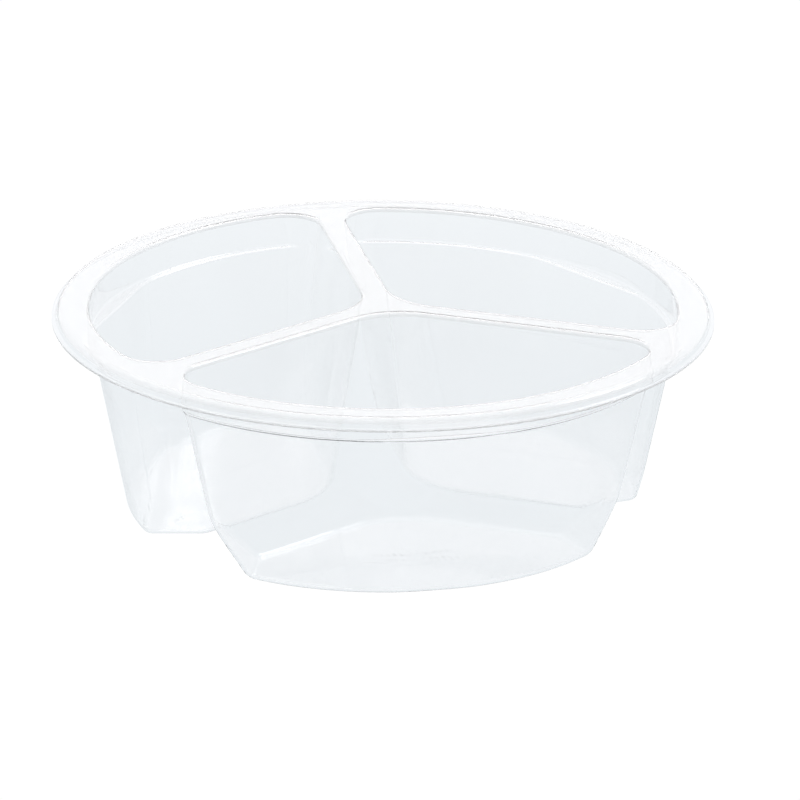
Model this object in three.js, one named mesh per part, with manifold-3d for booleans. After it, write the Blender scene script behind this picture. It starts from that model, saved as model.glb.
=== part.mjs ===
// A round three-compartment food tray, thermoformed from one clear plastic sheet.
// Millimetres, +Z up. The origin is on the surface the tray stands on, at the middle of the tray.
// The sheet is split along its creases into the regions a person would name: the sealing deck, the
// rim skirt, and for each well its collar, outer wall, divider wall and floor. Neighbouring regions
// meet face to face on flat cuts.
import * as THREE from "three";
import { mergeVertices } from "three/addons/utils/BufferGeometryUtils.js";
import Module from "manifold-3d";

const wasm = await Module();
wasm.setup();

// Driving dimensions of the whole tray.
const HEIGHT = 60; // deck top above the table
const SHEET = 0.5; // thickness of the formed sheet
const DECK_RADIUS = 93;
const LIP_RADIUS = 95; // the widest part, at the foot of the skirt
const SKIRT_DROP = 3.4; // deck top to the underside of the lip
const SKIRT_FLARE = 1; // how far the skirt leans out on its way down
const WELL_ANGLES = { front: 270, left: 150, right: 30 }; // degrees, each well's middle line

// A well's section at three depths. It is bounded by an arc about the tray's middle and by two flat
// divider walls, each parallel to the middle of a web, 60 degrees away from the well's middle line.
const WEB_ANGLE = THREE.MathUtils.degToRad(60);
const ARC_AT_DECK = 84.3;
const ARC_AT_LEDGE = 84.5;
const LEDGE_DEPTH = 10;
const ARC_UNDER_LEDGE = 83;
const ARC_AT_FLOOR = 73.1;
const WEB_HALF_AT_DECK = 3.9; // middle of the web to the divider wall
const WEB_HALF_AT_FLOOR = 11.5;
const HUB_RADIUS_AT_DECK = 20; // the rounding of the corner that points at the tray's middle
const HUB_RADIUS_AT_FLOOR = 27;
const CORNER_RADIUS_AT_DECK = 10.5; // the rounding of the two outer corners
const CORNER_RADIUS_AT_LEDGE = 7;
const CORNER_RADIUS_AT_FLOOR = 3;

// The flat panel in the middle of each outer wall leans in until it meets the floor's arc.
const PANEL_AT_LEDGE = 80.4;
const PANEL_AT_FLOOR = 73.2;

// Each outer lower corner is cut off by a flat bevel through three points of the inner surface:
// one on the corner edge and two on the floor's outline.
const BEVEL_TOP = { radius: 76, angle: 49, z: 13 };
const BEVEL_ON_ARC = { radius: 72.9, angle: 42, z: 0 };
const BEVEL_ON_SIDE = { radius: 59, angle: 48, z: 0 };

const DIVIDER_REACH = 52; // the divider wall region ends at this distance along the well's middle line
const ARC_STEPS = 26;
const HUB_STEPS = 8;
const CORNER_STEPS = 6;
const RIM_STEPS = 96;
const BIG = 400; // larger than the tray, for half-spaces

const mix = THREE.MathUtils.lerp;
const rad = THREE.MathUtils.degToRad;

// ---------- solids ----------

function solidOf(geometry) {
  const plain = geometry.clone();
  plain.deleteAttribute("normal");
  plain.deleteAttribute("uv");
  const merged = mergeVertices(plain, 1e-4);
  return new wasm.Manifold(
    new wasm.Mesh({
      numProp: 3,
      vertProperties: new Float32Array(merged.attributes.position.array),
      triVerts: new Uint32Array(merged.index.array),
    }),
  );
}

function geometryOf(solid) {
  const mesh = solid.getMesh();
  const geometry = new THREE.BufferGeometry();
  geometry.setAttribute("position", new THREE.BufferAttribute(mesh.vertProperties, 3));
  geometry.setIndex(new THREE.BufferAttribute(mesh.triVerts, 1));
  geometry.computeVertexNormals();
  return geometry;
}

// A closed solid between two outlines with the same number of points, each listed anticlockwise.
function loft(lowOutline, lowZ, highOutline, highZ) {
  const count = lowOutline.length;
  const positions = [];
  lowOutline.forEach((p) => positions.push(p.x, p.y, lowZ));
  highOutline.forEach((p) => positions.push(p.x, p.y, highZ));
  const faces = [];
  for (let i = 0; i < count; i += 1) {
    const next = (i + 1) % count;
    faces.push(i, next, count + next);
    faces.push(i, count + next, count + i);
  }
  for (const [a, b, c] of THREE.ShapeUtils.triangulateShape(lowOutline, [])) {
    faces.push(a, c, b);
  }
  for (const [a, b, c] of THREE.ShapeUtils.triangulateShape(highOutline, [])) {
    faces.push(count + a, count + b, count + c);
  }
  const geometry = new THREE.BufferGeometry();
  geometry.setAttribute("position", new THREE.Float32BufferAttribute(positions, 3));
  geometry.setIndex(faces);
  return solidOf(geometry);
}

// Everything between two heights.
function slab(lowZ, highZ) {
  const box = new THREE.BoxGeometry(BIG, BIG, highZ - lowZ);
  box.translate(0, 0, (lowZ + highZ) / 2);
  return solidOf(box);
}

// Everything on the far side of a plane, where far is the way its normal points.
function beyond(point, normal) {
  const box = new THREE.BoxGeometry(BIG, BIG, BIG);
  box.translate(0, 0, BIG / 2);
  const turn = new THREE.Quaternion().setFromUnitVectors(new THREE.Vector3(0, 0, 1), normal);
  box.applyQuaternion(turn);
  box.translate(point.x, point.y, point.z);
  return solidOf(box);
}

// ---------- the outline of a well ----------

function arcPoints(points, centre, radius, from, to, steps) {
  for (let i = 0; i <= steps; i += 1) {
    const angle = mix(from, to, i / steps);
    points.push(
      new THREE.Vector2(centre.x + radius * Math.cos(angle), centre.y + radius * Math.sin(angle)),
    );
  }
}

// One well's outline in its own frame: X runs out along its middle line, the tray's middle is 0, 0.
function wellOutline({ arc, webHalf, hub, corner }) {
  const cornerReach = arc - corner;
  const cornerAngle = WEB_ANGLE - Math.asin((webHalf + corner) / cornerReach);
  const cornerX = cornerReach * Math.cos(cornerAngle);
  const cornerY = cornerReach * Math.sin(cornerAngle);
  const sideNormal = WEB_ANGLE + Math.PI / 2;
  const hubCentre = new THREE.Vector2((webHalf + hub) / Math.sin(WEB_ANGLE), 0);
  const points = [];
  arcPoints(points, new THREE.Vector2(0, 0), arc, -cornerAngle, cornerAngle, ARC_STEPS);
  points.pop();
  arcPoints(points, new THREE.Vector2(cornerX, cornerY), corner, cornerAngle, sideNormal, CORNER_STEPS);
  arcPoints(points, hubCentre, hub, sideNormal, 2 * Math.PI - sideNormal, HUB_STEPS);
  arcPoints(
    points,
    new THREE.Vector2(cornerX, -cornerY),
    corner,
    2 * Math.PI - sideNormal,
    2 * Math.PI - cornerAngle,
    CORNER_STEPS,
  );
  points.pop();
  return points;
}

// The section at one depth below the deck, grown outwards by grow.
function sectionAt(depth, arc, corner, grow) {
  const down = depth / HEIGHT;
  return wellOutline({
    arc: arc + grow,
    webHalf: mix(WEB_HALF_AT_DECK, WEB_HALF_AT_FLOOR, down) - grow,
    hub: mix(HUB_RADIUS_AT_DECK, HUB_RADIUS_AT_FLOOR, down) + grow,
    corner: corner + grow,
  });
}

// ---------- one well ----------

function upperSolid(bottomDepth, grow) {
  const low = sectionAt(bottomDepth, ARC_AT_LEDGE, CORNER_RADIUS_AT_LEDGE, grow);
  const high = sectionAt(0, ARC_AT_DECK, CORNER_RADIUS_AT_DECK, grow);
  return loft(low, HEIGHT - bottomDepth, high, HEIGHT);
}

function lowerSolid(topDepth, bottomDepth, grow) {
  const low = sectionAt(bottomDepth, ARC_AT_FLOOR, CORNER_RADIUS_AT_FLOOR, grow);
  const high = sectionAt(topDepth, ARC_UNDER_LEDGE, CORNER_RADIUS_AT_LEDGE, grow);
  return loft(low, HEIGHT - bottomDepth, high, HEIGHT - topDepth);
}

function polarPoint({ radius, angle, z }, side) {
  const turn = rad(angle) * side;
  return new THREE.Vector3(radius * Math.cos(turn), radius * Math.sin(turn), z);
}

// What the flat panel and the two corner bevels take off a well's lower solid.
function flatCuts(grow) {
  const rise = HEIGHT - LEDGE_DEPTH;
  const panelPoint = new THREE.Vector3(PANEL_AT_FLOOR, 0, 0);
  const panelNormal = new THREE.Vector3(rise, 0, PANEL_AT_FLOOR - PANEL_AT_LEDGE).normalize();
  const cuts = [beyond(panelPoint.addScaledVector(panelNormal, grow), panelNormal)];
  for (const side of [1, -1]) {
    const top = polarPoint(BEVEL_TOP, side);
    const onArc = polarPoint(BEVEL_ON_ARC, side);
    const onSide = polarPoint(BEVEL_ON_SIDE, side);
    const normal = onArc.clone().sub(top).cross(onSide.clone().sub(top)).normalize();
    if (normal.z > 0) normal.negate();
    cuts.push(beyond(top.addScaledVector(normal, grow), normal));
  }
  return wasm.Manifold.union(cuts);
}

// The bare hollow of a well, or with grow the outside of the sheet round it.
function wellSolid(ledgeDepth, bottomDepth, grow) {
  const lower = lowerSolid(ledgeDepth, bottomDepth, grow).subtract(flatCuts(grow));
  return upperSolid(ledgeDepth, grow).add(lower);
}

// The sheet round one well, parted into the regions that a well has.
function wellRegions() {
  const outside = wellSolid(LEDGE_DEPTH + SHEET, HEIGHT, SHEET);
  const hollow = wellSolid(LEDGE_DEPTH, HEIGHT, 0).intersect(slab(SHEET, HEIGHT + SHEET));
  const shell = outside.subtract(hollow);
  const ledgeUnderside = HEIGHT - LEDGE_DEPTH - SHEET;
  const walls = shell.intersect(slab(SHEET, ledgeUnderside));
  const outerSide = beyond(new THREE.Vector3(DIVIDER_REACH, 0, 0), new THREE.Vector3(1, 0, 0));
  return {
    collar: shell.intersect(slab(ledgeUnderside, HEIGHT - SHEET)),
    outer_wall: walls.intersect(outerSide),
    divider_wall: walls.subtract(outerSide),
    floor: shell.intersect(slab(0, SHEET)),
  };
}

// ---------- the deck and the skirt ----------

function wellTurn(angle) {
  return new THREE.Matrix4().makeRotationZ(rad(angle));
}

// The flat ring and the three webs that a lidding film seals to.
function sealingDeck() {
  const disc = new THREE.CylinderGeometry(DECK_RADIUS, DECK_RADIUS, SHEET, RIM_STEPS);
  disc.rotateX(Math.PI / 2);
  disc.translate(0, 0, HEIGHT - SHEET / 2);
  let deck = solidOf(disc);
  const opening = sectionAt(0, ARC_AT_DECK, CORNER_RADIUS_AT_DECK, 0);
  for (const angle of Object.values(WELL_ANGLES)) {
    const hole = geometryOf(loft(opening, HEIGHT - 2 * SHEET, opening, HEIGHT + SHEET));
    deck = deck.subtract(solidOf(hole.applyMatrix4(wellTurn(angle))));
  }
  return deck;
}

// The skirt hangs from the deck's edge, leans out and ends in the lip that a lid snaps under.
function rimSkirt() {
  const top = HEIGHT - SHEET;
  const foot = HEIGHT - SKIRT_DROP;
  const flared = DECK_RADIUS + SKIRT_FLARE;
  const profile = [
    [DECK_RADIUS - SHEET, top],
    [flared - SHEET, foot],
    [LIP_RADIUS, foot],
    [LIP_RADIUS, foot + SHEET],
    [flared, foot + SHEET],
    [DECK_RADIUS, top],
    [DECK_RADIUS - SHEET, top],
  ];
  const points = profile.map(([radius, z]) => new THREE.Vector2(radius, z));
  const ring = new THREE.LatheGeometry(points, RIM_STEPS);
  ring.rotateX(Math.PI / 2);
  return solidOf(ring);
}

// ---------- the tray ----------

const CLEAR_PLASTIC = { color: 0xeaf1f5, roughness: 0.08, metalness: 0 };

function piece(name, solid) {
  const mesh = new THREE.Mesh(geometryOf(solid), new THREE.MeshStandardMaterial(CLEAR_PLASTIC));
  mesh.name = name;
  return mesh;
}

const tray = new THREE.Group();
tray.add(piece("sealing_deck", sealingDeck()));
tray.add(piece("rim_skirt", rimSkirt()));
const regions = wellRegions();
for (const [place, angle] of Object.entries(WELL_ANGLES)) {
  const well = new THREE.Group();
  well.rotation.z = rad(angle);
  for (const [region, solid] of Object.entries(regions)) {
    well.add(piece(`${place}_${region}`, solid));
  }
  tray.add(well);
}

export default tray;
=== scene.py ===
"""A clear thermoformed food tray with three wells, built as a fine sheet in place of the CAD nodes.

One well's sheet is worked out once, as a grid in the well's own frame: rays fan out from a pole inside
the well, and stations follow each ray from the pole over the floor, up the wall, over the ledge and the
deck's rounded edge to the middle of the web or the rim. The grid is turned to each well's place, cut
into pieces along the tray's creases, and each piece is given the sheet's thickness. A piece is left open
where the sheet runs on into the next one.
"""

import math

import bpy
import numpy as np
from mathutils import Matrix, Vector


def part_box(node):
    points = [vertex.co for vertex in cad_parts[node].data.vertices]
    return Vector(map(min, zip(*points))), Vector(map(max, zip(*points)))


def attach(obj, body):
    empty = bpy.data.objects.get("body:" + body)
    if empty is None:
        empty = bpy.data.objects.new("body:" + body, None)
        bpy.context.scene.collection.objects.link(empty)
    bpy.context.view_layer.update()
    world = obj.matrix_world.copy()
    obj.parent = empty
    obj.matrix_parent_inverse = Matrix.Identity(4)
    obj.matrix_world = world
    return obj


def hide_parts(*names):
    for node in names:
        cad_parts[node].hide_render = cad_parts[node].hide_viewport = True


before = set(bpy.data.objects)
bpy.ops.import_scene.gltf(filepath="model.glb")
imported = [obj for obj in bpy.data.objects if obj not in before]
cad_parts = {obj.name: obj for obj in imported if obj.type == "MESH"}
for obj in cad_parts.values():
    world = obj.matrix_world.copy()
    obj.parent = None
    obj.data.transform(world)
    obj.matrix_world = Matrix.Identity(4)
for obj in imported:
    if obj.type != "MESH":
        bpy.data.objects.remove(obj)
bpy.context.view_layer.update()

MM = 0.001
WELL_ANGLES = {"front": 270, "left": 150, "right": 30}  # degrees, each well's middle line

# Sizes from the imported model.
deck_low, deck_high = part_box("sealing_deck")
skirt_low, skirt_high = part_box("rim_skirt")
collar_low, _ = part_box("front_collar")
DECK_TOP = deck_high.z
SHEET = deck_high.z - deck_low.z
DECK_RADIUS = deck_high.x
LIP_RADIUS = skirt_high.x
LIP_TOP = skirt_low.z + SHEET
LEDGE_TOP = collar_low.z + SHEET
ARC_AT_LEDGE = -collar_low.y - SHEET

# Sizes of a well's inner surface, as in the CAD part.
WEB_ANGLE = math.radians(60)
ARC_AT_DECK = 84.3 * MM
ARC_UNDER_LEDGE = 83 * MM
ARC_AT_FLOOR = 73.1 * MM
WEB_HALF = (3.9 * MM, 11.5 * MM)  # at the deck, at the floor
HUB_RADIUS = (20 * MM, 27 * MM)
CORNER_RADIUS_AT_DECK = 10.5 * MM
CORNER_RADIUS_AT_LEDGE = 7 * MM
CORNER_RADIUS_AT_FLOOR = 3 * MM
PANEL = (80.4 * MM, 73.2 * MM)  # the flat panel's reach at the ledge and at the floor
BEVEL_POINTS = ((76, 49, 13), (72.9, 42, 0), (59, 48, 0))  # radius mm, degrees, height mm
SKIRT_FLARE = 1 * MM

# Roundings and small forms that only the fine surface has.
DECK_EDGE_ROUND = 1.3 * MM
RIM_ROUND = 1.7 * MM
LIP_ROUND = 0.5 * MM
LEDGE_ROUND = 0.8 * MM
NARROW_LEDGE = (0.9 * MM, 1.7 * MM)  # the ledge melts into the wall below these widths
MELT_ROUNDS = 240
MELT_MARGIN = 3  # rings past the ledge's own roundings that the melting reaches
LEDGE_FALL = 0.3 * MM
FLOOR_ROUND = 2.0 * MM
PANEL_BLEND = 1.2 * MM
BEVEL_BLEND = 1.6 * MM
FLOOR_RISE = 0.3 * MM

# The grid.
POLE = 47 * MM  # the pole's distance from the tray's middle
HALF_RAYS = 132
TURN_SHARE = 0.4  # how far rays crowd where the outline turns
FLOOR_STEPS = 34
WALL_STEPS = 34
BAND_STEPS = 8
ROUND_STEPS = 12
LEDGE_STEPS = 3
DECK_STEPS = 4


# ---------- one well's outline ----------


def mix(a, b, t):
    return a + (b - a) * t


def arc_points(centre, radius, start, stop, steps=300):
    turn = np.linspace(start, stop, steps)
    return np.c_[centre[0] + radius * np.cos(turn), centre[1] + radius * np.sin(turn)]


def half_outline(arc, web_half, hub, corner):
    """Closely spaced points of a well's outline from its middle line round to the hub, on one side."""
    reach = arc - corner
    corner_angle = WEB_ANGLE - math.asin((web_half + corner) / reach)
    corner_centre = (reach * math.cos(corner_angle), reach * math.sin(corner_angle))
    side_normal = WEB_ANGLE + math.pi / 2
    hub_centre = ((web_half + hub) / math.sin(WEB_ANGLE), 0)
    outer = arc_points((0, 0), arc, 0, corner_angle)
    turn = arc_points(corner_centre, corner, corner_angle, side_normal)
    inner = arc_points(hub_centre, hub, side_normal, math.pi)
    side = mix(turn[-1], inner[0], np.linspace(0, 1, 300)[1:-1, None])
    return np.concatenate([outer, turn[1:], side, inner])


def reach_of(points, angles):
    """How far the outline lies from the pole along each ray."""
    offset = points - (POLE, 0)
    return np.interp(angles, np.arctan2(offset[:, 1], offset[:, 0]), np.hypot(*offset.T))


def half_ray_angles():
    """Ray angles on one side, spaced by the outline's length and by how much it turns."""
    points = half_outline(ARC_AT_LEDGE, WEB_HALF[0], HUB_RADIUS[0], CORNER_RADIUS_AT_LEDGE)
    step = np.diff(points, axis=0)
    length = np.concatenate([[0], np.cumsum(np.hypot(*step.T))])
    heading = np.unwrap(np.arctan2(step[:, 1], step[:, 0]))
    turned = np.concatenate([heading[:1], heading]) - heading[0]
    measure = mix(length / length[-1], turned / turned[-1], TURN_SHARE)
    offset = points - (POLE, 0)
    bearing = np.arctan2(offset[:, 1], offset[:, 0])
    angles = np.interp(np.linspace(0, 1, HALF_RAYS + 1), measure, bearing)
    rim = DECK_RADIUS - RIM_ROUND
    to_rim_corner = math.atan2(rim * math.sin(WEB_ANGLE), rim * math.cos(WEB_ANGLE) - POLE)
    corner = int(np.argmin(abs(angles - to_rim_corner)))
    angles[corner] = to_rim_corner
    angles[0], angles[-1] = 0, math.pi
    return angles, corner


HALF_ANGLES, RIM_CORNER = half_ray_angles()
ANGLES = np.concatenate([HALF_ANGLES, -HALF_ANGLES[-2:0:-1]])
RAYS = np.c_[np.cos(ANGLES), np.sin(ANGLES)]


def both_sides(half):
    return np.concatenate([half, half[-2:0:-1]])


def smooth_least(a, b, blend):
    """The smaller of two reaches, rounded where they cross."""
    near = np.clip(0.5 + 0.5 * (b - a) / blend, 0, 1)
    return mix(b, a, near) - blend * near * (1 - near)


def line_reach(normal, offset):
    """Reach to a straight line in plan: every point p on it has p . normal = offset."""
    along = RAYS @ normal
    gap = offset - POLE * normal[0]
    return np.where(along > 1e-6, gap / np.maximum(along, 1e-6), 1.0)


def upper_reach(z, grow=0.0):
    """Reach to the band above the ledge at one height. grow widens the whole outline."""
    down = (DECK_TOP - z) / DECK_TOP
    t = (DECK_TOP - z) / (DECK_TOP - LEDGE_TOP)
    points = half_outline(
        mix(ARC_AT_DECK, ARC_AT_LEDGE, t) + grow,
        mix(*WEB_HALF, down) - grow,
        mix(*HUB_RADIUS, down) + grow,
        mix(CORNER_RADIUS_AT_DECK, CORNER_RADIUS_AT_LEDGE, t) + grow,
    )
    return both_sides(reach_of(points, HALF_ANGLES))


def bevel_planes():
    """The two flat bevels between a well's outer wall and its floor, as normals and offsets."""
    planes = []
    for side in (1, -1):
        a, b, c = (
            Vector((
                radius * MM * math.cos(math.radians(turn)),
                side * radius * MM * math.sin(math.radians(turn)),
                height * MM,
            ))
            for radius, turn, height in BEVEL_POINTS
        )
        normal = (b - a).cross(c - a).normalized()
        if normal.z > 0:
            normal.negate()
        planes.append((normal, normal.dot(a)))
    return planes


BEVELS = bevel_planes()


def lower_reach(z):
    """Reach to the wall below the ledge at one height, with its panel and its bevels."""
    down = (DECK_TOP - z) / DECK_TOP
    t = (LEDGE_TOP - z) / LEDGE_TOP
    points = half_outline(
        mix(ARC_UNDER_LEDGE, ARC_AT_FLOOR, t),
        mix(*WEB_HALF, down),
        mix(*HUB_RADIUS, down),
        mix(CORNER_RADIUS_AT_LEDGE, CORNER_RADIUS_AT_FLOOR, t),
    )
    reach = both_sides(reach_of(points, HALF_ANGLES))
    panel = line_reach(np.array([1.0, 0.0]), mix(*PANEL, t))
    reach = smooth_least(reach, panel, PANEL_BLEND)
    for normal, offset in BEVELS:
        bevel = line_reach(np.array([normal.x, normal.y]), offset - normal.z * z)
        reach = smooth_least(reach, bevel, BEVEL_BLEND)
    return reach


# ---------- the sheet over one well, as a grid ----------


def ring(reach, z):
    plan = RAYS * np.asarray(reach)[:, None]
    height = np.broadcast_to(z, len(RAYS))
    return np.c_[plan[:, 0] + POLE, plan[:, 1], height]


def rounded(before, corner, after, steps=ROUND_STEPS):
    """Rings along a quadratic curve that leaves before and reaches after, pulled towards corner."""
    rings = []
    for t in np.linspace(0, 1, steps + 1):
        rings.append(mix(mix(before, corner, t), mix(corner, after, t), t))
    return rings


def straight(start, stop, steps):
    return [mix(start, stop, t) for t in np.linspace(0, 1, steps + 1)]


def melt(rings, share):
    """Evens out a stretch of rings between its ends, fully where share is 1."""
    pull = share[:, None] / 2
    for _ in range(MELT_ROUNDS):
        rings[1:-1] = mix(rings[1:-1], (rings[:-2] + rings[2:]) / 2, pull)


def web_reach():
    """Reach to the web's middle lines, or to the circle where the rim's rounding starts."""
    rim = DECK_RADIUS - RIM_ROUND
    along = RAYS[:, 0] * POLE
    circle = -along + np.sqrt(along**2 - POLE**2 + rim**2)
    reach = circle
    for side in (1, -1):
        normal = np.array([-math.sin(WEB_ANGLE), side * math.cos(WEB_ANGLE)])
        reach = np.minimum(reach, line_reach(normal, 0))
    return reach


def well_grid():
    """Rings of points from the pole outwards, and where each region of the sheet ends."""
    floor_corner = ring(lower_reach(SHEET), SHEET)
    floor_edge = ring(lower_reach(SHEET) - FLOOR_ROUND, SHEET)
    wall_foot = ring(lower_reach(SHEET + FLOOR_ROUND), SHEET + FLOOR_ROUND)
    ledge_low = LEDGE_TOP - LEDGE_FALL / 2
    ledge_high = LEDGE_TOP + LEDGE_FALL / 2
    wall_head = ring(lower_reach(ledge_low - LEDGE_ROUND), ledge_low - LEDGE_ROUND)
    ledge_in = ring(lower_reach(ledge_low), ledge_low)
    ledge_out = ring(upper_reach(ledge_high), ledge_high)
    width = np.linalg.norm(ledge_out - ledge_in, axis=1)
    share = np.minimum(LEDGE_ROUND / width, 0.45)[:, None]
    ledge_a = mix(ledge_in, ledge_out, share)
    ledge_b = mix(ledge_out, ledge_in, share)
    band_foot = ring(upper_reach(ledge_high + LEDGE_ROUND), ledge_high + LEDGE_ROUND)
    band_head = ring(upper_reach(DECK_TOP - DECK_EDGE_ROUND), DECK_TOP - DECK_EDGE_ROUND)
    deck_corner = ring(upper_reach(DECK_TOP), DECK_TOP)
    deck_in = ring(upper_reach(DECK_TOP, DECK_EDGE_ROUND), DECK_TOP)
    deck_out = ring(web_reach(), DECK_TOP)

    pole = ring(np.zeros(len(RAYS)), SHEET)
    rings = straight(pole, floor_edge, FLOOR_STEPS)[1:]
    rings += rounded(floor_edge, floor_corner, wall_foot)[1:]
    marks = {"floor": len(rings) - 1}
    for z in np.linspace(wall_foot[0, 2], wall_head[0, 2], WALL_STEPS + 1)[1:]:
        rings.append(ring(lower_reach(z), z))
    marks["wall"] = len(rings) - 1
    melt_start = len(rings) - MELT_MARGIN
    rings += rounded(wall_head, ledge_in, ledge_a)[1:]
    rings += straight(ledge_a, ledge_b, LEDGE_STEPS)[1:]
    rings += rounded(ledge_b, ledge_out, band_foot)[1:]
    melt_stop = len(rings) + MELT_MARGIN
    for z in np.linspace(band_foot[0, 2], band_head[0, 2], BAND_STEPS + 1)[1:]:
        rings.append(ring(upper_reach(z), z))
    marks["collar"] = len(rings) - 1
    rings += rounded(band_head, deck_corner, deck_in)[1:]
    marks["flat"] = len(rings) - 1
    rings += straight(deck_in, deck_out, DECK_STEPS)[1:]
    marks["deck"] = len(rings) - 1
    grid = np.array(rings)
    narrow = 1 - np.clip((width - NARROW_LEDGE[0]) / np.diff(NARROW_LEDGE), 0, 1)
    melt(grid[melt_start:melt_stop], narrow)
    return grid, marks


def grid_normals(grid, flat_from):
    """Unit normals of the food side. The rings from flat_from on lie flat."""
    along = np.gradient(grid, axis=0)
    around = np.roll(grid, -1, axis=1) - np.roll(grid, 1, axis=1)
    normals = np.cross(along, around)
    normals /= np.linalg.norm(normals, axis=2, keepdims=True)
    normals[flat_from:] = (0, 0, 1)
    return normals


# ---------- raised marks on the floors ----------


def bar_height(points, start, stop, half_width, height):
    """A low rounded bar between two points in plan."""
    start, stop = np.array(start) * MM, np.array(stop) * MM
    run = stop - start
    t = np.clip(((points - start) @ run) / (run @ run), 0, 1)
    away = np.linalg.norm(points - start - t[..., None] * run, axis=-1)
    return height * np.clip(1 - (away / half_width) ** 2, 0, 1) ** 2


def ring_height(points, centre, radius, half_width, height):
    """A low rounded ring in plan."""
    away = abs(np.linalg.norm(points - np.array(centre) * MM, axis=-1) - radius)
    return height * np.clip(1 - (away / half_width) ** 2, 0, 1) ** 2


TICK_ROWS = {45: 13, 50: 21}  # the row's distance from the tray's middle, mm, and its number of ticks
TICK_LENGTH = 2.0
TICK_PITCH = 1.9
TICK_HALF_WIDTH = 0.6 * MM
TICK_HEIGHT = 0.02 * MM
RING_CENTRE = (46, 36)
RING_RADIUS = 3.6 * MM
RING_HALF_WIDTH = 0.9 * MM
RING_HEIGHT = 0.1 * MM


def floor_relief(place, plan):
    height = np.zeros(plan.shape[:-1])
    if place == "front":
        for row, count in TICK_ROWS.items():
            for i in range(count):
                across = (i - (count - 1) / 2) * TICK_PITCH
                start = (row - TICK_LENGTH / 2, across)
                stop = (row + TICK_LENGTH / 2, across)
                height += bar_height(plan, start, stop, TICK_HALF_WIDTH, TICK_HEIGHT)
    if place == "left":
        height += ring_height(plan, RING_CENTRE, RING_RADIUS, RING_HALF_WIDTH, RING_HEIGHT)
    return height


# ---------- from grids to pieces ----------


def strip_faces(rings, rays, closed, offset=0):
    """Quads between neighbouring rings, facing the food side."""
    faces = []
    for j in range(rings - 1):
        for k in range(rays if closed else rays - 1):
            n = (k + 1) % rays
            a, b = j * rays, (j + 1) * rays
            faces.append((offset + a + k, offset + b + k, offset + b + n, offset + a + n))
    return faces


def weld(points, normals, faces):
    """Joins vertices that lie in the same place, and drops the sides that this closes up."""
    keys = np.round(points / (0.001 * MM)).astype(np.int64)
    _, first, same = np.unique(keys, axis=0, return_index=True, return_inverse=True)
    same = same.reshape(-1)
    welded = []
    for face in faces:
        loop = []
        for vertex in face:
            if same[vertex] not in loop:
                loop.append(int(same[vertex]))
        if len(loop) > 2:
            welded.append(tuple(loop))
    return points[first], normals[first], welded


def open_edges(faces):
    seen = set()
    for face in faces:
        for a, b in zip(face, face[1:] + face[:1]):
            if (b, a) in seen:
                seen.remove((b, a))
            else:
                seen.add((a, b))
    return sorted(seen)


def sheet_piece(name, points, normals, faces, replaced, material=None):
    """The food side and the same surface one sheet below, closed at the lip, the tray's only free edge.

    Where the sheet runs on into the next piece, both pieces end on the same line of points.
    """
    points, normals, faces = weld(points, normals, faces)
    count = len(points)
    under = points - normals * SHEET
    at_lip = np.hypot(points[:, 0], points[:, 1]) > LIP_RADIUS - 0.01 * MM
    free = [(a, b) for a, b in open_edges(faces) if at_lip[a] and at_lip[b]]
    edges = [(b, a, count + a, count + b) for a, b in free]
    below = [tuple(count + v for v in reversed(face)) for face in faces]
    mesh = bpy.data.meshes.new(name)
    mesh.from_pydata(np.concatenate([points, under]).tolist(), [], faces + below + edges)
    mesh.update()
    mesh.shade_smooth()
    both = np.concatenate([normals, -normals])
    loops = np.zeros(len(mesh.loops), np.int32)
    mesh.loops.foreach_get("vertex_index", loops)
    loop_normals = both[loops]
    first_edge_face = len(faces) + len(below)
    for polygon in mesh.polygons[first_edge_face:]:
        loop_normals[polygon.loop_start:polygon.loop_start + polygon.loop_total] = polygon.normal
        polygon.material_index = 1
    mesh.normals_split_custom_set(loop_normals.tolist())
    piece = bpy.data.objects.new(name, mesh)
    bpy.context.scene.collection.objects.link(piece)
    mesh.materials.append(material or clear_plastic)
    if edges:
        mesh.materials.append(cut_plastic)
    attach(piece, "root")
    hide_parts(*replaced)
    return piece


def turned(points, angle):
    c, s = math.cos(math.radians(angle)), math.sin(math.radians(angle))
    return points @ np.array([[c, s, 0], [-s, c, 0], [0, 0, 1]])


def well_pieces(place, angle, grid, normals, marks):
    floor_end, wall_end, collar_end = marks["floor"], marks["wall"], marks["collar"]
    rays = grid.shape[1]
    floor = grid[:floor_end + 1].copy()
    plan = floor[:, :, :2] - (POLE, 0)
    share = np.linalg.norm(plan, axis=2) / np.linalg.norm(plan[FLOOR_STEPS - 1], axis=1)
    rise = FLOOR_RISE * np.clip(1 - share**2, 0, 1) ** 2
    relief = floor_relief(place, floor[:, :, :2])
    floor[:, :, 2] += rise + relief
    centre = np.array([[POLE, 0, SHEET + FLOOR_RISE]])
    floor_normals = grid_normals(floor, len(floor))
    floor_normals[-1] = normals[floor_end]
    points = np.concatenate([floor.reshape(-1, 3), centre])
    point_normals = np.concatenate([floor_normals.reshape(-1, 3), [[0, 0, 1]]])
    faces = strip_faces(len(floor), rays, True)
    faces += [(len(points) - 1, k, (k + 1) % rays) for k in range(rays)]
    sheet_piece(
        f"{place}_floor", turned(points, angle), turned(point_normals, angle), faces, [f"{place}_floor"]
    )
    for name, start, stop, replaced in (
        ("wall", floor_end, wall_end, [f"{place}_outer_wall", f"{place}_divider_wall"]),
        ("collar", wall_end, collar_end, [f"{place}_collar"]),
    ):
        part = grid[start:stop + 1]
        sheet_piece(
            f"{place}_{name}",
            turned(part.reshape(-1, 3), angle),
            turned(normals[start:stop + 1].reshape(-1, 3), angle),
            strip_faces(len(part), rays, True),
            replaced,
        )


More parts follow.
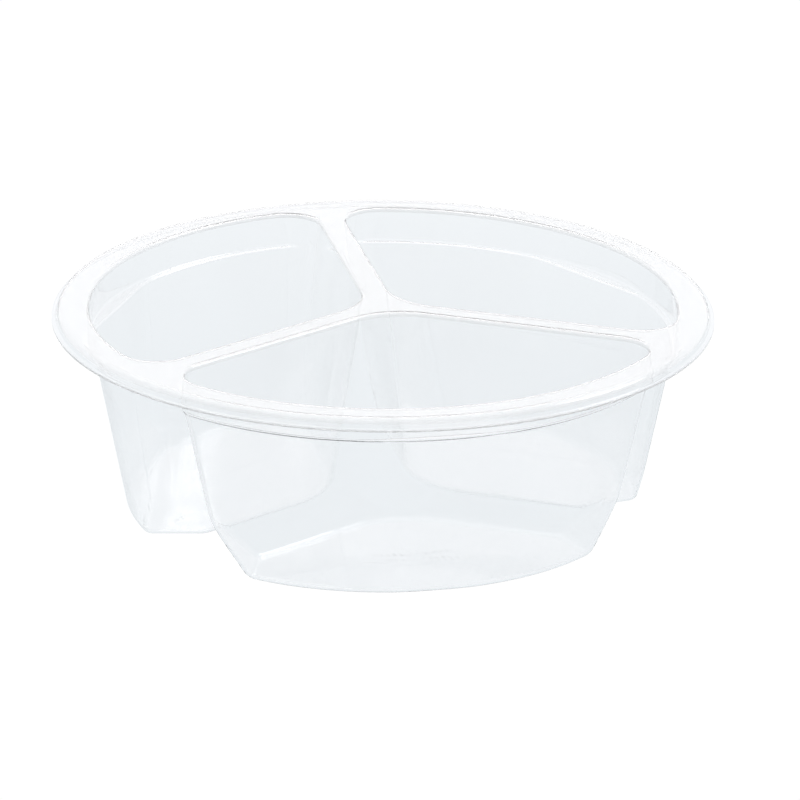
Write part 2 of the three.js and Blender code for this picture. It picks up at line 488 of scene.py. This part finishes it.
def deck_piece(grid, normals, marks, rim_points, rim_normals, rim_rays):
    """The ring and the web: the deck rings of all three wells, and the rim's rounded edge."""
    start = marks["collar"]
    part = grid[start:]
    points, point_normals, faces = [], [], []
    count = 0
    for angle in WELL_ANGLES.values():
        points.append(turned(part.reshape(-1, 3), angle))
        point_normals.append(turned(normals[start:].reshape(-1, 3), angle))
        faces += strip_faces(len(part), part.shape[1], True, count)
        count += points[-1].shape[0]
        points.append(turned(rim_points.reshape(-1, 3), angle))
        point_normals.append(turned(rim_normals.reshape(-1, 3), angle))
        faces += strip_faces(len(rim_points), rim_rays, False, count)
        count += points[-1].shape[0]
    sheet_piece(
        "sealing_deck",
        np.concatenate(points),
        np.concatenate(point_normals),
        faces,
        ["sealing_deck"],
        # The deck's milkier material is painted light: it stands in for the light that the upward deck
        # catches.
        deck_plastic_painted_light,
    )


def rim_profile():
    """The skirt's outer line as radius and height, from the deck's edge to the lip, and its cut."""
    deck_edge = np.array([DECK_RADIUS - RIM_ROUND, DECK_TOP])
    corner = np.array([DECK_RADIUS, DECK_TOP])
    foot = np.array([DECK_RADIUS + SKIRT_FLARE, LIP_TOP])
    lean = (foot - corner) / np.linalg.norm(foot - corner)
    skirt_head = corner + lean * RIM_ROUND
    skirt_foot = foot - lean * LIP_ROUND
    lip_start = foot + np.array([LIP_ROUND, 0])
    lip_end = np.array([LIP_RADIUS, LIP_TOP])
    line = rounded(deck_edge, corner, skirt_head, 10)
    cut = len(line) - 1
    line += straight(skirt_head, skirt_foot, 6)[1:]
    line += rounded(skirt_foot, foot, lip_start, 8)[1:]
    line += straight(lip_start, lip_end, 2)[1:]
    return np.array(line), cut


def rim_grid(deck_ring):
    """The rim profile swept round one well's share of the circle."""
    line, cut = rim_profile()
    rays = list(range(-RIM_CORNER, RIM_CORNER + 1))
    turn = np.arctan2(deck_ring[rays, 1], deck_ring[rays, 0])
    points = np.stack(
        [np.outer(line[:, 0], np.cos(turn)), np.outer(line[:, 0], np.sin(turn)),
         np.repeat(line[:, 1:], len(turn), axis=1)],
        axis=2,
    )
    step = np.gradient(line, axis=0)
    flat = np.c_[-step[:, 1], step[:, 0]]
    flat /= np.linalg.norm(flat, axis=1, keepdims=True)
    flat[0] = (0, 1)
    normals = np.stack(
        [np.outer(flat[:, 0], np.cos(turn)), np.outer(flat[:, 0], np.sin(turn)),
         np.repeat(flat[:, 1:], len(turn), axis=1)],
        axis=2,
    )
    return points, normals, cut


def build_tray():
    grid, marks = well_grid()
    normals = grid_normals(grid, marks["flat"])
    for place, angle in WELL_ANGLES.items():
        well_pieces(place, angle, grid, normals, marks)
    rim_points, rim_normals, cut = rim_grid(grid[-1])
    rays = rim_points.shape[1]
    deck_piece(grid, normals, marks, rim_points[:cut + 1], rim_normals[:cut + 1], rays)
    part = rim_points[cut:]
    points = [turned(part.reshape(-1, 3), angle) for angle in WELL_ANGLES.values()]
    skirt_normals = [turned(rim_normals[cut:].reshape(-1, 3), a) for a in WELL_ANGLES.values()]
    faces = []
    for i in range(len(WELL_ANGLES)):
        faces += strip_faces(len(part), rays, False, i * len(part) * rays)
    sheet_piece(
        "rim_skirt", np.concatenate(points), np.concatenate(skirt_normals), faces, ["rim_skirt"]
    )


# ---------- the material ----------


SHEET_COLOUR = (0.997, 0.997, 0.997, 1)
DECK_CLEARNESS_PAINTED_LIGHT = 0.82  # painted light: the deck is a milkier copy of the one sheet, so it shows whiter as the lit upward deck does
CUT_CLEARNESS = 0.55  # the lip's edge is milkier, since clear sheet seen end on turns black


def make_plastic(name, clearness):
    """Formed sheet with faint draw marks and a little haze in patches.

    It is clear to the share that clearness says, and milky for the rest.
    """
    material = bpy.data.materials.new(name)
    material.use_nodes = True
    nodes, links = material.node_tree.nodes, material.node_tree.links
    shader = nodes["Principled BSDF"]
    shader.inputs["Base Color"].default_value = SHEET_COLOUR
    shader.inputs["Transmission Weight"].default_value = clearness
    shader.inputs["IOR"].default_value = 1.53
    place = nodes.new("ShaderNodeTexCoord")
    haze = nodes.new("ShaderNodeTexNoise")
    haze.inputs["Scale"].default_value = 45
    haze.inputs["Detail"].default_value = 3
    links.new(place.outputs["Object"], haze.inputs["Vector"])
    roughness = nodes.new("ShaderNodeMapRange")
    roughness.inputs["From Min"].default_value = 0.35
    roughness.inputs["From Max"].default_value = 0.75
    roughness.inputs["To Min"].default_value = 0.04
    roughness.inputs["To Max"].default_value = 0.09
    links.new(haze.outputs["Fac"], roughness.inputs["Value"])
    links.new(roughness.outputs["Result"], shader.inputs["Roughness"])
    stretch = nodes.new("ShaderNodeMapping")
    stretch.inputs["Scale"].default_value = (1, 1, 0.25)
    links.new(place.outputs["Object"], stretch.inputs["Vector"])
    draw = nodes.new("ShaderNodeTexNoise")
    draw.inputs["Scale"].default_value = 70
    draw.inputs["Detail"].default_value = 2
    links.new(stretch.outputs["Vector"], draw.inputs["Vector"])
    bump = nodes.new("ShaderNodeBump")
    bump.inputs["Strength"].default_value = 0.01
    bump.inputs["Distance"].default_value = 0.4 * MM
    links.new(draw.outputs["Fac"], bump.inputs["Height"])
    links.new(bump.outputs["Normal"], shader.inputs["Normal"])
    return material


# ---------- the stage ----------


# The floor's tone as it is seen through the tray, with a painted shadow: a little darker under it than
# well away from it.
NEAR_PAINTED_SHADOW_TONE = (0.846, 0.884, 0.912, 1)
FAR_TONE = (0.904, 0.932, 0.955, 1)
NEAR_RADIUS = 0.09
FAR_RADIUS = 0.34


def make_floor():
    half = 4.0
    mesh = bpy.data.meshes.new("studio_floor")
    corners = [(-half, -half, 0), (half, -half, 0), (half, half, 0), (-half, half, 0)]
    mesh.from_pydata(corners, [], [(0, 1, 2, 3)])
    floor = bpy.data.objects.new("studio_floor", mesh)
    bpy.context.scene.collection.objects.link(floor)
    floor.location.z = -0.0002
    material = bpy.data.materials.new("studio_light_table")
    material.use_nodes = True
    nodes, links = material.node_tree.nodes, material.node_tree.links
    nodes.remove(nodes["Principled BSDF"])
    glow = nodes.new("ShaderNodeEmission")
    path = nodes.new("ShaderNodeLightPath")
    place = nodes.new("ShaderNodeTexCoord")
    distance = nodes.new("ShaderNodeVectorMath")
    distance.operation = "LENGTH"
    links.new(place.outputs["Object"], distance.inputs[0])
    outwards = nodes.new("ShaderNodeMapRange")
    outwards.interpolation_type = "SMOOTHSTEP"
    outwards.inputs["From Min"].default_value = NEAR_RADIUS
    outwards.inputs["From Max"].default_value = FAR_RADIUS
    links.new(distance.outputs["Value"], outwards.inputs["Value"])
    # Painted shadow: the tone seen through the tray grows darker towards the tray's middle.
    floor_with_painted_shadow = nodes.new("ShaderNodeMix")
    floor_with_painted_shadow.data_type = "RGBA"
    floor_with_painted_shadow.inputs["A"].default_value = NEAR_PAINTED_SHADOW_TONE
    floor_with_painted_shadow.inputs["B"].default_value = FAR_TONE
    links.new(outwards.outputs["Result"], floor_with_painted_shadow.inputs["Factor"])
    tone = nodes.new("ShaderNodeMix")
    tone.data_type = "RGBA"
    tone.inputs["B"].default_value = (1.02, 1.02, 1.02, 1)
    links.new(floor_with_painted_shadow.outputs["Result"], tone.inputs["A"])
    links.new(path.outputs["Is Camera Ray"], tone.inputs["Factor"])
    links.new(tone.outputs["Result"], glow.inputs["Color"])
    links.new(glow.outputs["Emission"], nodes["Material Output"].inputs["Surface"])
    mesh.materials.append(material)


FRONT_LIGHT = (0.78, 0.79, 0.8, 1)
BACK_LIGHT = (1.15, 1.135, 1.15, 1)
LIGHT_TURN = 0.6  # how far in front of the tray, and behind it, the dome reaches these
BOX_DIRECTION = (0.72, 0.04, 0.69)
BOX_INNER = math.radians(9)
BOX_OUTER = math.radians(17)
BOX_STRENGTH = 4.0
OVERHEAD_START = 0.45
OVERHEAD_STRENGTH = 0.75


def make_light():
    """A soft white dome, brighter overhead and behind the tray, and a soft box high on the right.

    The strengths of the box and of the light overhead add up, on top of the dome.
    """
    world = bpy.data.worlds.new("studio_dome")
    world.use_nodes = True
    bpy.context.scene.world = world
    nodes, links = world.node_tree.nodes, world.node_tree.links
    place = nodes.new("ShaderNodeTexCoord")
    split = nodes.new("ShaderNodeSeparateXYZ")
    links.new(place.outputs["Generated"], split.inputs["Vector"])
    behind = nodes.new("ShaderNodeMapRange")
    behind.interpolation_type = "SMOOTHSTEP"
    behind.inputs["From Min"].default_value = -LIGHT_TURN
    behind.inputs["From Max"].default_value = LIGHT_TURN
    links.new(split.outputs["Y"], behind.inputs["Value"])
    tone = nodes.new("ShaderNodeMix")
    tone.data_type = "RGBA"
    tone.inputs["A"].default_value = FRONT_LIGHT
    tone.inputs["B"].default_value = BACK_LIGHT
    links.new(behind.outputs["Result"], tone.inputs["Factor"])
    dome = nodes["Background"]
    links.new(tone.outputs["Result"], dome.inputs["Color"])
    towards_box = nodes.new("ShaderNodeVectorMath")
    towards_box.operation = "DOT_PRODUCT"
    towards_box.inputs[1].default_value = Vector(BOX_DIRECTION).normalized()
    links.new(place.outputs["Generated"], towards_box.inputs[0])
    inside = nodes.new("ShaderNodeMapRange")
    inside.interpolation_type = "SMOOTHSTEP"
    inside.inputs["From Min"].default_value = math.cos(BOX_OUTER)
    inside.inputs["From Max"].default_value = math.cos(BOX_INNER)
    inside.inputs["To Max"].default_value = BOX_STRENGTH
    links.new(towards_box.outputs["Value"], inside.inputs["Value"])
    above = nodes.new("ShaderNodeMapRange")
    above.interpolation_type = "SMOOTHSTEP"
    above.inputs["From Min"].default_value = OVERHEAD_START
    above.inputs["To Max"].default_value = OVERHEAD_STRENGTH
    links.new(split.outputs["Z"], above.inputs["Value"])
    strength = nodes.new("ShaderNodeMath")
    strength.operation = "ADD"
    links.new(inside.outputs["Result"], strength.inputs[0])
    links.new(above.outputs["Result"], strength.inputs[1])
    box = nodes.new("ShaderNodeBackground")
    links.new(strength.outputs["Value"], box.inputs["Strength"])
    both = nodes.new("ShaderNodeAddShader")
    links.new(dome.outputs["Background"], both.inputs[0])
    links.new(box.outputs["Background"], both.inputs[1])
    links.new(both.outputs["Shader"], nodes["World Output"].inputs["Surface"])


CAMERA_AZIMUTH = math.radians(-11.76)
CAMERA_ELEVATION = math.radians(19.75)
CAMERA_DISTANCE = 1.927
CAMERA_PAN = math.radians(-0.15)
CAMERA_TILT = math.radians(-0.82)
CAMERA_ROLL = math.radians(-0.43)
CAMERA_LENS = 302.4


def make_camera():
    out = Vector((
        math.sin(CAMERA_AZIMUTH) * math.cos(CAMERA_ELEVATION),
        -math.cos(CAMERA_AZIMUTH) * math.cos(CAMERA_ELEVATION),
        math.sin(CAMERA_ELEVATION),
    ))
    forward = -out
    right = forward.cross(Vector((0, 0, 1))).normalized()
    up = right.cross(forward)
    pan = Matrix.Rotation(CAMERA_PAN, 3, up)
    forward, right = pan @ forward, pan @ right
    tilt = Matrix.Rotation(CAMERA_TILT, 3, right)
    forward, up = tilt @ forward, tilt @ up
    roll = Matrix.Rotation(CAMERA_ROLL, 3, forward)
    right, up = roll @ right, roll @ up
    camera = bpy.data.objects.new("camera", bpy.data.cameras.new("camera"))
    bpy.context.scene.collection.objects.link(camera)
    turn = Matrix((right, up, -forward)).transposed()
    place = Vector((0, 0, DECK_TOP)) + out * CAMERA_DISTANCE
    camera.matrix_world = Matrix.Translation(place) @ turn.to_4x4()
    camera.data.lens = CAMERA_LENS
    camera.data.clip_end = 20
    bpy.context.scene.camera = camera


def set_view():
    scene = bpy.context.scene
    scene.view_settings.view_transform = "Standard"
    scene.cycles.max_bounces = 64
    scene.cycles.transmission_bounces = 48
    scene.cycles.glossy_bounces = 48


make_camera()
make_floor()
make_light()
set_view()
clear_plastic = make_plastic("clear_plastic", 1)
# A milkier copy of the sheet for the deck: painted light that makes the upward deck look whiter.
deck_plastic_painted_light = make_plastic("deck_plastic_painted_light", DECK_CLEARNESS_PAINTED_LIGHT)
cut_plastic = make_plastic("cut_plastic", CUT_CLEARNESS)
build_tray()
